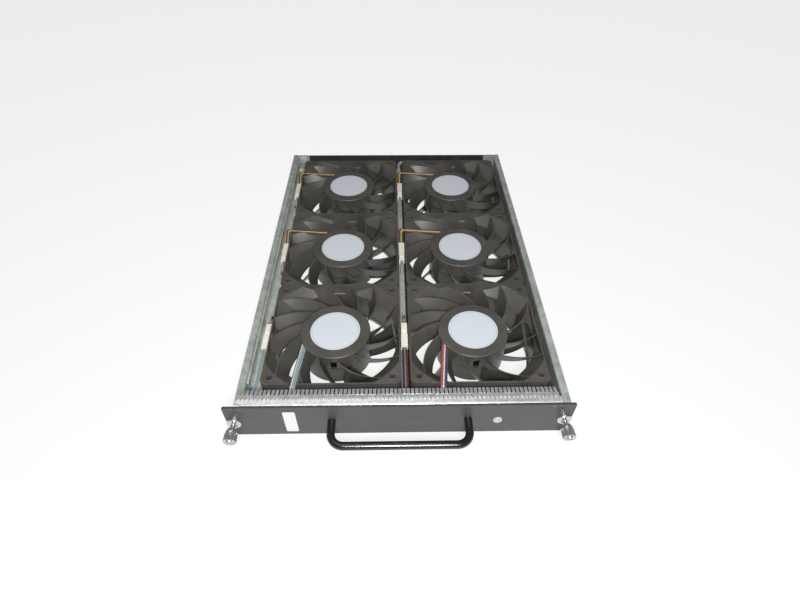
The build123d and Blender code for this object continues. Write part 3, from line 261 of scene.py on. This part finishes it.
finger_pitch = 0.0035
strip = Shape(
    "gasket_strip",
    Fingers=int((gasket_high.x - gasket_low.x) / finger_pitch),
    Pitch=finger_pitch,
    Gap=0.0009,
    Depth=gasket_high.y - gasket_low.y,
    Finger=0.0062,
    Rise=0.00105,
)
band_depth = strip.node(
    "ShaderNodeMath", {0: strip.given["Depth"], 1: strip.given["Finger"]}, operation="SUBTRACT"
)
places = strip.node(
    "MeshLine",
    {
        "Count": strip.given["Fingers"],
        "Offset": strip.vector(strip.given["Pitch"]),
    },
)
finger_width = strip.node(
    "ShaderNodeMath", {0: strip.given["Pitch"], 1: strip.given["Gap"]}, operation="SUBTRACT"
)
finger = strip.node(
    "MeshGrid",
    {
        "Size X": finger_width,
        "Size Y": strip.given["Finger"],
        "Vertices X": 2,
        "Vertices Y": 7,
    },
)
finger_middle = strip.plus(band_depth, strip.times(strip.given["Finger"], 0.5))
finger = strip.node(
    "Transform",
    {
        "Geometry": finger,
        "Translation": strip.vector(0.0, finger_middle),
    },
)
tilt = strip.node(
    "FunctionNodeRandomValue",
    {"Min": (0.0, -0.02, 0.0), "Max": (0.03, 0.02, 0.0), "Seed": 4},
    data_type="FLOAT_VECTOR",
)
fingers = strip.node("InstanceOnPoints", {"Points": places, "Instance": finger, "Rotation": tilt})
web = strip.node(
    "MeshGrid",
    {
        "Size X": strip.given["Pitch"],
        "Size Y": band_depth,
        "Vertices X": 5,
        "Vertices Y": 13,
    },
)
web = strip.node(
    "Transform",
    {"Geometry": web, "Translation": strip.vector(0.0, strip.times(band_depth, 0.5))},
)
webs = strip.node("InstanceOnPoints", {"Points": places, "Instance": web})
sheet = strip.node("RealizeInstances", {0: strip.join(webs, fingers)})
spot = strip.node("InputPosition")
across = strip.node("ShaderNodeSeparateXYZ", {0: spot}, 0)
along = strip.node("ShaderNodeSeparateXYZ", {0: spot}, 1)
share = strip.node("ShaderNodeMath", {0: along, 1: strip.given["Depth"]}, operation="DIVIDE")
arch = strip.node("ShaderNodeMath", {0: strip.times(share, math.pi)}, operation="SINE")
wave = strip.times(across, 2 * math.pi / finger_pitch)
dimple = strip.node("ShaderNodeMath", {0: wave}, operation="COSINE")
dimple_row = 0.3
from_row = strip.node("ShaderNodeMath", {0: strip.plus(share, -dimple_row)}, operation="ABSOLUTE")
near = strip.node(
    "ShaderNodeMapRange",
    {"Value": from_row, "From Min": 0.03, "From Max": 0.16, "To Min": 1.0, "To Max": 0.0},
    interpolation_type="SMOOTHSTEP",
)
half_dimple = 0.00015
pressed = strip.times(strip.times(strip.plus(dimple, 1.0), near), half_dimple)
lift = strip.plus(strip.times(arch, strip.given["Rise"]), pressed)
sheet = strip.node("SetPosition", {"Geometry": sheet, "Offset": strip.vector(0.0, 0.0, lift)})
sheet = strip.node("MergeByDistance", {"Geometry": sheet, "Distance": 0.00002})
gasket = strip.piece("gasket_fingers", sheet, spring_tin)
spread = strip.sizes["Fingers"] * finger_pitch
start = (gasket_low.x + gasket_high.x - spread + finger_pitch) / 2
seat = 0.00015
gasket.data.transform(Matrix.Translation((start, gasket_low.y, gasket_low.z + seat)))
thickness = gasket.modifiers.new("thickness", "SOLIDIFY")
thickness.thickness = 0.00022
thickness.offset = 1.0
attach(gasket, "tray")
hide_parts("emi_gasket")

# Pull handle: one bent steel bar in gloss black, held by a screw into each tapped
# end from behind the plate. The coating is smooth, a little scuffed on the grip.
handle_black, shader, place = finish("handle_black", Coat_Weight=0.5, Coat_Roughness=0.12)
scuff = place.noise(130, 5).step(0.55, 0.75)
feed(
    shader,
    Base_Color=scuff.between((0.008, 0.008, 0.009, 1), (0.022, 0.022, 0.023, 1)),
    Roughness=0.22 + scuff * 0.2,
    Normal=place.noise(600, 2).bump(0.05, 0.0002),
)
dress(handle_black, "handle")


def plain_steel(name, dark, pale, rough):
    material, shader, place = finish(name, Metallic=0.9)
    lathe = place.noise(1800, 2, (1, 1, 0.1))
    stain = place.noise(180, 4)
    feed(
        shader,
        Base_Color=stain.step(0.3, 0.7).between((*dark, 1), (*pale, 1)),
        Roughness=rough + stain * 0.15,
        Normal=lathe.bump(0.08, 0.0001),
    )
    return material


fastener_steel = plain_steel("fastener_steel", (0.38, 0.38, 0.37), (0.58, 0.58, 0.56), 0.28)
dress(fastener_steel, "handle_screws", "fan_studs", "fan_nuts")

# Front label, status light and its board. The label is a blank white film; the light
# is a milky moulded lens pushed through the plate, with a small green board behind.
label_film, shader, place = finish("label_film")
fibres = place.noise(700, 3)
feed(
    shader,
    Base_Color=fibres.between((0.56, 0.56, 0.55, 1), (0.66, 0.66, 0.64, 1)),
    Roughness=0.42 + fibres * 0.1,
    Normal=fibres.bump(0.05, 0.0001),
)
dress(label_film, "front_label")
milky_lens, shader, place = finish("milky_lens", Transmission_Weight=0.25, IOR=1.49)
haze = place.noise(500, 3)
feed(
    shader,
    Base_Color=haze.between((0.46, 0.47, 0.46, 1), (0.60, 0.61, 0.60, 1)),
    Roughness=0.18 + haze * 0.1,
)
dress(milky_lens, "status_lens")
circuit_board, shader, place = finish("circuit_board")
weave = place.noise(1600, 2)
feed(
    shader,
    Base_Color=weave.between((0.010, 0.050, 0.022, 1), (0.02, 0.09, 0.04, 1)),
    Roughness=0.35 + weave * 0.1,
)
dress(circuit_board, "light_board", "fan_boards")

# Captive thumbscrews: turned brass, nickel plated, held in a dished ferrule that is
# pressed in the plate. The knob has a straight knurl, rounded shoulders and a slot.
nickel, shader, place = finish("nickel", Metallic=0.95)
bloom = place.noise(300, 4)
feed(
    shader,
    Base_Color=bloom.between((0.56, 0.56, 0.54, 1), (0.78, 0.78, 0.76, 1)),
    Roughness=0.16 + bloom * 0.18,
    Normal=place.noise(1500, 2, (1, 0.2, 1)).bump(0.06, 0.0001),
)
dress(nickel, "screw_ferrules")
dress(fastener_steel, "left_screw_clip", "right_screw_clip")
knob_radius = 0.0054
knob_length = 0.0124
boss_length = 0.0014
boss_radius = 0.0035
slot_depth = 0.0018
slot_width = 0.0012
knurl_depth = 0.0004
knurl_start = 0.0017
collar_radius = 0.0053
neck_radius = 0.0020
relief_radius = 0.0015
relief_length = 0.00086
core_radius = 0.00165
thread_length = 0.0070
thread_lead_in = 0.0002
knurl = Shape(
    "knob_knurl",
    Ridges=44,
    Radius=knob_radius - knurl_depth,
    Length=0.0068,
    Height=knurl_depth,
)
ring = knurl.node(
    "MeshCircle",
    {"Vertices": knurl.given["Ridges"], "Radius": knurl.given["Radius"]},
)
ridge = knurl.node(
    "MeshCone",
    {
        "Vertices": 4,
        "Radius Top": knurl.times(knurl.given["Height"], 0.55),
        "Radius Bottom": knurl.given["Height"],
        "Depth": knurl.given["Length"],
    },
)
ridges = knurl.node(
    "InstanceOnPoints",
    {
        "Points": ring,
        "Instance": ridge,
        "Rotation": knurl.node(
            "FunctionNodeAlignRotationToVector",
            {"Vector": knurl.node("InputPosition")},
            axis="X",
            pivot_axis="Z",
        ),
    },
)
thread_height = 0.0004
thread = Shape("screw_thread", Turns=9.0, Radius=0.0018, Length=0.0066, Height=thread_height)
helix = thread.node(
    "CurveSpiral",
    {
        "Resolution": 28,
        "Rotations": thread.given["Turns"],
        "Start Radius": thread.given["Radius"],
        "End Radius": thread.given["Radius"],
        "Height": thread.given["Length"],
    },
)
flank_radius = thread.times(thread.given["Height"], 0.5)
flank = thread.node("CurvePrimitiveCircle", {"Resolution": 4, "Radius": flank_radius})
flanks = thread.node("CurveToMesh", {"Curve": helix, "Profile Curve": flank, "Fill Caps": True})
for side in ("left", "right"):
    low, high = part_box(side + "_thumbscrew")
    axis = Vector(((low.x + high.x) / 2, 0, (low.z + high.z) / 2))
    front = low.y
    knob_back = front + boss_length + knob_length
    knurl_radius = knob_radius - knurl_depth
    thread_start = high.y - thread_length
    turned = [
        (0.0, front + 0.0004),
        (0.0027, front + 0.0004),
        (0.0033, front + 0.0009),
        (boss_radius, front + boss_length),
        (0.0043, front + boss_length),
        (knurl_radius, front + boss_length + 0.0006),
        (knurl_radius, front + 0.0085),
        (collar_radius, front + 0.0090),
        (collar_radius, front + 0.0100),
        (0.0049, front + 0.0118),
        (0.0041, front + 0.0131),
        (0.0030, knob_back),
        (neck_radius, knob_back + 0.0002),
        (neck_radius, thread_start - relief_length),
        (relief_radius, thread_start - relief_length),
        (relief_radius, thread_start),
        (core_radius, thread_start + thread_lead_in),
        (core_radius, high.y - 0.0006),
        (0.0012, high.y),
        (0.0, high.y),
    ]
    shape = bmesh.new()
    outline = [shape.verts.new((0, y, radius)) for radius, y in turned]
    for first, second in zip(outline, outline[1:]):
        shape.edges.new((first, second))
    bmesh.ops.spin(
        shape,
        geom=shape.verts[:] + shape.edges[:],
        cent=(0, 0, 0),
        axis=(0, 1, 0),
        angle=2 * math.pi,
        steps=48,
        use_merge=True,
    )
    bmesh.ops.remove_doubles(shape, verts=shape.verts, dist=1e-6)
    bmesh.ops.recalc_face_normals(shape, faces=shape.faces)
    mesh = bpy.data.meshes.new(side + "_screw_turned")
    shape.to_mesh(mesh)
    shape.free()
    screw = bpy.data.objects.new(side + "_screw_turned", mesh)
    bpy.context.scene.collection.objects.link(screw)
    saw = bmesh.new()
    kerf = Matrix.Diagonal((2 * knob_radius, 2 * slot_depth, slot_width, 1))
    bmesh.ops.create_cube(saw, size=1.0, matrix=Matrix.Translation((0, front, 0)) @ kerf)
    blade = bpy.data.objects.new("saw", bpy.data.meshes.new("saw"))
    saw.to_mesh(blade.data)
    saw.free()
    bpy.context.scene.collection.objects.link(blade)
    cut = screw.modifiers.new("slot", "BOOLEAN")
    cut.object = blade
    view = bpy.context.evaluated_depsgraph_get()
    mesh = bpy.data.meshes.new_from_object(screw.evaluated_get(view))
    screw.modifiers.remove(cut)
    screw.data = mesh
    bpy.data.objects.remove(blade)
    mesh.materials.clear()
    mesh.materials.append(nickel)
    lay_along = Matrix.Rotation(-math.pi / 2, 4, "X")
    if side == "left":
        knurl_ridges = knurl.piece("knob_ridges", ridges, nickel)
        thread_coil = thread.piece("thread_coil", flanks, nickel)
    ridge_copy = knurl_ridges.data.copy()
    ridge_copy.transform(Matrix.Translation((0, front + knurl_start, 0)) @ lay_along)
    coil_copy = thread_coil.data.copy()
    coil_start = thread_start + thread_lead_in
    coil_copy.transform(Matrix.Translation((0, coil_start, 0)) @ lay_along)
    whole = bmesh.new()
    for source in (mesh, ridge_copy, coil_copy):
        whole.from_mesh(source)
    whole.to_mesh(mesh)
    whole.free()
    mesh.transform(Matrix.Translation(axis))
    for polygon in mesh.polygons:
        polygon.use_smooth = True
    mesh.set_sharp_from_angle(angle=math.radians(35))
    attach(screw, side + "_screw")
    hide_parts(side + "_thumbscrew")
bpy.data.objects.remove(knurl_ridges)
bpy.data.objects.remove(thread_coil)

# Fan frames: glass-filled black moulding, warm grey where the light grazes it, with a
# fine spark-eroded texture, paler flow marks and a thin film of dust on level faces.
fan_names = [f"{row}_{column}" for row in ("front", "middle", "rear") for column in ("left", "right")]


def moulded_black(name, dark, pale, rough):
    material, shader, place = finish(name, Specular_IOR_Level=0.6)
    grain = place.noise(1900, 2)
    flow = place.noise(45, 5)
    dust = place.noise(320, 5)
    facing = place.node("NewGeometry", {}, {}, "Normal")
    facing = facing.node("SeparateXYZ", {}, {"Vector": facing}, "Z")
    lying = facing.step(0.35, 0.95) * dust.step(0.35, 0.75)
    body = flow.step(0.3, 0.7).between((*dark, 1), (*pale, 1))
    feed(
        shader,
        Base_Color=(lying * 0.12).between(body, (0.13, 0.12, 0.105, 1)),
        Roughness=rough + lying * 0.15 + flow * 0.1,
        Normal=grain.bump(0.14, 0.0003),
    )
    return material


frame_black = moulded_black("frame_black", (0.056, 0.052, 0.045), (0.078, 0.073, 0.064), 0.38)
rotor_black = moulded_black("rotor_black", (0.030, 0.028, 0.025), (0.042, 0.038, 0.034), 0.30)
for fan in fan_names:
    dress(frame_black, "fan_frame_" + fan)
    dress(rotor_black, "impeller_" + fan)
fan_hubs = []
for fan in fan_names:
    low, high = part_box("fan_shaft_" + fan)
    fan_hubs.append(((low.x + high.x) / 2, (low.y + high.y) / 2))
column_pitch = fan_hubs[1][0] - fan_hubs[0][0]
row_pitch = fan_hubs[2][1] - fan_hubs[0][1]

# Corner hole rims: a low rounded bead moulded round each screw hole on the vane side.
rims = Shape(
    "hole_rims",
    Radius=0.0030,
    Bead=0.00045,
    Spacing=0.105,
    Columns=column_pitch,
    Rows=2 * row_pitch,
)
bead_path = rims.node("CurvePrimitiveCircle", {"Resolution": 24, "Radius": rims.given["Radius"]})
bead_round = rims.node("CurvePrimitiveCircle", {"Resolution": 8, "Radius": rims.given["Bead"]})
bead = rims.node("CurveToMesh", {"Curve": bead_path, "Profile Curve": bead_round})
corners = rims.node(
    "MeshGrid",
    {
        "Size X": rims.given["Spacing"],
        "Size Y": rims.given["Spacing"],
        "Vertices X": 2,
        "Vertices Y": 2,
    },
)
fan_rims = rims.node("InstanceOnPoints", {"Points": corners, "Instance": bead})
fan_centres = rims.node(
    "MeshGrid",
    {
        "Size X": rims.given["Columns"],
        "Size Y": rims.given["Rows"],
        "Vertices X": 2,
        "Vertices Y": 3,
    },
)
all_rims = rims.node("InstanceOnPoints", {"Points": fan_centres, "Instance": fan_rims})
hole_rims = rims.piece("hole_rims", all_rims, frame_black)
fan_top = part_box("fan_frame_middle_left")[1].z
middle = ((fan_hubs[0][0] + fan_hubs[1][0]) / 2, fan_hubs[2][1], fan_top)
hole_rims.data.transform(Matrix.Translation(middle))
for polygon in hole_rims.data.polygons:
    polygon.use_smooth = True
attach(hole_rims, "tray")

# Hub labels: round pale film in the recess of each motor cup, left blank, with a
# faint blue cast and a thin darker line printed just inside the edge.
hub_film, shader, place = finish("hub_film")
lattice = place.node("SeparateXYZ", {}, {"Vector": place}, "X")
across = lattice - (fan_hubs[0][0] - column_pitch / 2)
depth = place.node("SeparateXYZ", {}, {"Vector": place}, "Y") - (fan_hubs[0][1] - row_pitch / 2)
across = across.sum("FLOORED_MODULO", across, column_pitch) - column_pitch / 2
depth = depth.sum("FLOORED_MODULO", depth, row_pitch) - row_pitch / 2
radius = across.sum("SQRT", across * across + depth * depth)
line_radius = 0.0212
line_width = 0.0005
line_edge = 0.0002
outside = radius.step(line_radius + line_width, line_radius + line_width + line_edge)
line = radius.step(line_radius, line_radius + line_edge) * (1 - outside)
mottle = place.noise(400, 3)
film = mottle.between((0.56, 0.60, 0.65, 1), (0.63, 0.67, 0.72, 1))
feed(
    shader,
    Base_Color=(line * 0.5).between(film, (0.25, 0.28, 0.34, 1)),
    Roughness=0.38 + mottle * 0.12,
)
dress(hub_film, "fan_labels")

# Motor inside each fan: bearings, laminated stator, copper coils, shaft, and the yoke,
# which is phosphated black and shows dark through the window in the motor cup.
rotor_steel = plain_steel("rotor_steel", (0.42, 0.42, 0.43), (0.60, 0.60, 0.61), 0.25)
phosphated = plain_steel("phosphated", (0.012, 0.012, 0.012), (0.026, 0.026, 0.025), 0.5)
for fan in fan_names:
    dress(rotor_steel, "fan_shaft_" + fan)
    dress(phosphated, "rotor_yoke_" + fan)
dress(rotor_steel, "fan_bearings")
lamination, shader, place = finish("lamination", Metallic=0.8)
sheets = place.node("TexWave", {"bands_direction": "Z"}, {"Vector": place, "Scale": 320.0}, "Fac")
feed(
    shader,
    Base_Color=sheets.between((0.16, 0.16, 0.17, 1), (0.36, 0.37, 0.38, 1)),
    Roughness=0.40 + sheets * 0.1,
    Normal=sheets.bump(0.3, 0.0002),
)
dress(lamination, "stator_cores")
winding, shader, place = finish("winding", Metallic=0.7)
turns = place.node("TexWave", {"bands_direction": "DIAGONAL"}, {"Vector": place, "Scale": 420.0}, "Fac")
feed(
    shader,
    Base_Color=turns.between((0.28, 0.09, 0.035, 1), (0.62, 0.26, 0.11, 1)),
    Roughness=0.3 + turns * 0.1,
    Normal=turns.bump(0.5, 0.0003),
)
dress(winding, "stator_coils")

# Leads and their connectors: three insulated wires from each motor to a cream nylon
# plug, which meets the loom's socket on the trough floor. The front fans' leads are of
# another make, paler on the left, and on the right darkened with painted shade where they lie in the
# trough.
front_row_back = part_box("fan_frame_front_left")[1].y
left_column_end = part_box("fan_frame_front_left")[1].x
right_column_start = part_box("fan_frame_front_right")[0].x
tint_edge = 0.001


def insulation(name, plain, front_left=None, front_right=None):
    material, shader, place = finish(name)
    smear = place.noise(260, 4)
    tint = (0.3 + smear * 0.5).between((*plain, 1), (*[0.6 * c for c in plain], 1))
    if front_left:
        lateral = place.node("SeparateXYZ", {}, {"Vector": place}, "X")
        to_rear = place.node("SeparateXYZ", {}, {"Vector": place}, "Y")
        to_rear = to_rear.step(front_row_back, front_row_back + tint_edge)
        # Painted shade: the front-right leads are darkened to 0.35 of their colour where they lie in
        # the trough between the columns.
        trough_shade_colour = [0.35 * c for c in front_right]
        outside_trough_shade = lateral.step(right_column_start - tint_edge, right_column_start)
        right_leads_shaded = outside_trough_shade.between((*trough_shade_colour, 1), (*front_right, 1))
        to_right = lateral.step(left_column_end, left_column_end + tint_edge)
        front = to_right.between((*front_left, 1), right_leads_shaded)
        tint = to_rear.between(front, tint)
    feed(
        shader,
        Base_Color=tint,
        Roughness=0.34 + smear * 0.2,
        Normal=place.noise(1200, 2).bump(0.06, 0.0002),
    )
    return material


red_wire = insulation("red_wire", (0.24, 0.015, 0.02), (0.40, 0.50, 0.58), (0.50, 0.08, 0.06))
dress(red_wire, "red_leads")
yellow_wire = insulation("yellow_wire", (0.64, 0.47, 0.06), (0.40, 0.33, 0.12), (0.62, 0.55, 0.54))
dress(yellow_wire, "yellow_leads")
blue_wire = insulation("blue_wire", (0.05, 0.08, 0.16), (0.16, 0.32, 0.52), (0.06, 0.05, 0.15))
dress(blue_wire, "blue_leads")
dress(insulation("black_wire", (0.020, 0.020, 0.021)), "light_cable")
dress(insulation("loom_sleeve", (0.30, 0.30, 0.31)), "left_harness", "centre_harness")
cream_nylon, shader, place = finish("cream_nylon", Subsurface_Weight=0.08, Subsurface_Scale=0.001)
waxy = place.noise(240, 4)
feed(
    shader,
    Base_Color=waxy.between((0.68, 0.64, 0.54, 1), (0.84, 0.81, 0.72, 1)),
    Roughness=0.36 + waxy * 0.15,
    Normal=place.noise(900, 2).bump(0.06, 0.0002),
)
dress(cream_nylon, "lead_plugs", "lead_sockets")

# Blind-mate connector on the rear panel: black moulded shroud with gilt contacts.
port_black, shader, place = finish("port_black")
mould = place.noise(1500, 2)
feed(
    shader,
    Base_Color=mould.between((0.016, 0.016, 0.016, 1), (0.032, 0.032, 0.031, 1)),
    Roughness=0.42 + mould * 0.1,
    Normal=mould.bump(0.1, 0.0002),
)
dress(port_black, "rear_connector")
gilt, shader, place = finish("gilt", Metallic=1.0)
film = place.noise(800, 3)
feed(
    shader,
    Base_Color=film.between((0.66, 0.46, 0.16, 1), (0.86, 0.66, 0.30, 1)),
    Roughness=0.2 + film * 0.1,
)
dress(gilt, "rear_contacts")

# Studio: a plain white floor that keeps a soft shadow, a large soft light above and
# a smaller, stronger one behind the camera, as the flash was.
reach = 6
floor_drop = 0.0003
floor_mesh = bpy.data.meshes.new("floor")
floor_mesh.from_pydata(
    [(-reach, -reach, 0), (reach, -reach, 0), (reach, reach, 0), (-reach, reach, 0)],
    [],
    [(0, 1, 2, 3)],
)
floor = bpy.data.objects.new("floor", floor_mesh)
bpy.context.scene.collection.objects.link(floor)
paper = bpy.data.materials.new("paper")
paper.use_nodes = True
paper_tree = paper.node_tree
shade = paper_tree.nodes["Principled BSDF"]
shade.inputs["Base Color"].default_value = (0.9, 0.9, 0.9, 1)
shade.inputs["Roughness"].default_value = 0.9
rays = paper_tree.nodes.new("ShaderNodeLightPath").outputs
seen = Wire(paper_tree, rays["Is Camera Ray"]) + Wire(paper_tree, rays["Is Glossy Ray"])
seen = seen + Wire(paper_tree, rays["Is Transmission Ray"])
glow = Wire(paper_tree).node("Emission", {}, {"Color": (1, 1, 1, 1), "Strength": 1.0})
lit = Wire(paper_tree, shade.outputs[0])
glow_share = 0.8
share = seen.sum("MINIMUM", seen * glow_share, glow_share)
mixed = seen.node("MixShader", {}, {0: share, 1: lit, 2: glow})
paper_tree.links.new(mixed.socket, paper_tree.nodes["Material Output"].inputs[0])
floor_mesh.materials.append(paper)
floor.location.z = -floor_drop

world = bpy.data.worlds.new("studio")
bpy.context.scene.world = world
world.use_nodes = True
sky = world.node_tree.nodes["Background"]
rays = world.node_tree.nodes.new("ShaderNodeLightPath").outputs
fill = 0.16
backdrop = Wire(world.node_tree, rays["Is Camera Ray"]) * (1 - fill) + fill
world.node_tree.links.new(backdrop.socket, sky.inputs["Strength"])
sky.inputs["Color"].default_value = (1, 1, 1, 1)


def soft_light(name, place, aim, size, power):
    lamp = bpy.data.lights.new(name, "AREA")
    lamp.shape = "DISK"
    lamp.size = size
    lamp.energy = power
    made = bpy.data.objects.new(name, lamp)
    bpy.context.scene.collection.objects.link(made)
    made.location = place
    made.rotation_euler = (Vector(aim) - Vector(place)).to_track_quat("-Z", "Y").to_euler()


soft_light("overhead", (-0.25, -0.1, 1.3), (0, 0, 0), 0.9, 2.4)
soft_light("front", (0.02, -0.64, 0.58), (0, -0.02, 0), 0.22, 7.5)

# Camera: handheld, a little above the front plate, looking down the tray.
eye = Vector((-0.0069, -0.4156, 0.3959))
tilt, yaw, roll = (math.radians(angle) for angle in (45.67, 1.48, -0.58))
ahead = Vector(
    (math.sin(yaw) * math.cos(tilt), math.cos(yaw) * math.cos(tilt), -math.sin(tilt))
)
right = Vector((math.cos(yaw), -math.sin(yaw), 0))
down = ahead.cross(right)
right, down = (
    math.cos(roll) * right + math.sin(roll) * down,
    -math.sin(roll) * right + math.cos(roll) * down,
)
focal_pixels = 507.63
picture_pixels = 800
lens = bpy.data.cameras.new("camera")
lens.sensor_fit = "HORIZONTAL"
lens.sensor_width = 36
lens.lens = focal_pixels / picture_pixels * lens.sensor_width
lens.clip_start = 0.01
camera = bpy.data.objects.new("camera", lens)
bpy.context.scene.collection.objects.link(camera)
turn = Matrix((right, -down, -ahead)).transposed().to_4x4()
camera.matrix_world = Matrix.Translation(eye) @ turn
bpy.context.scene.camera = camera
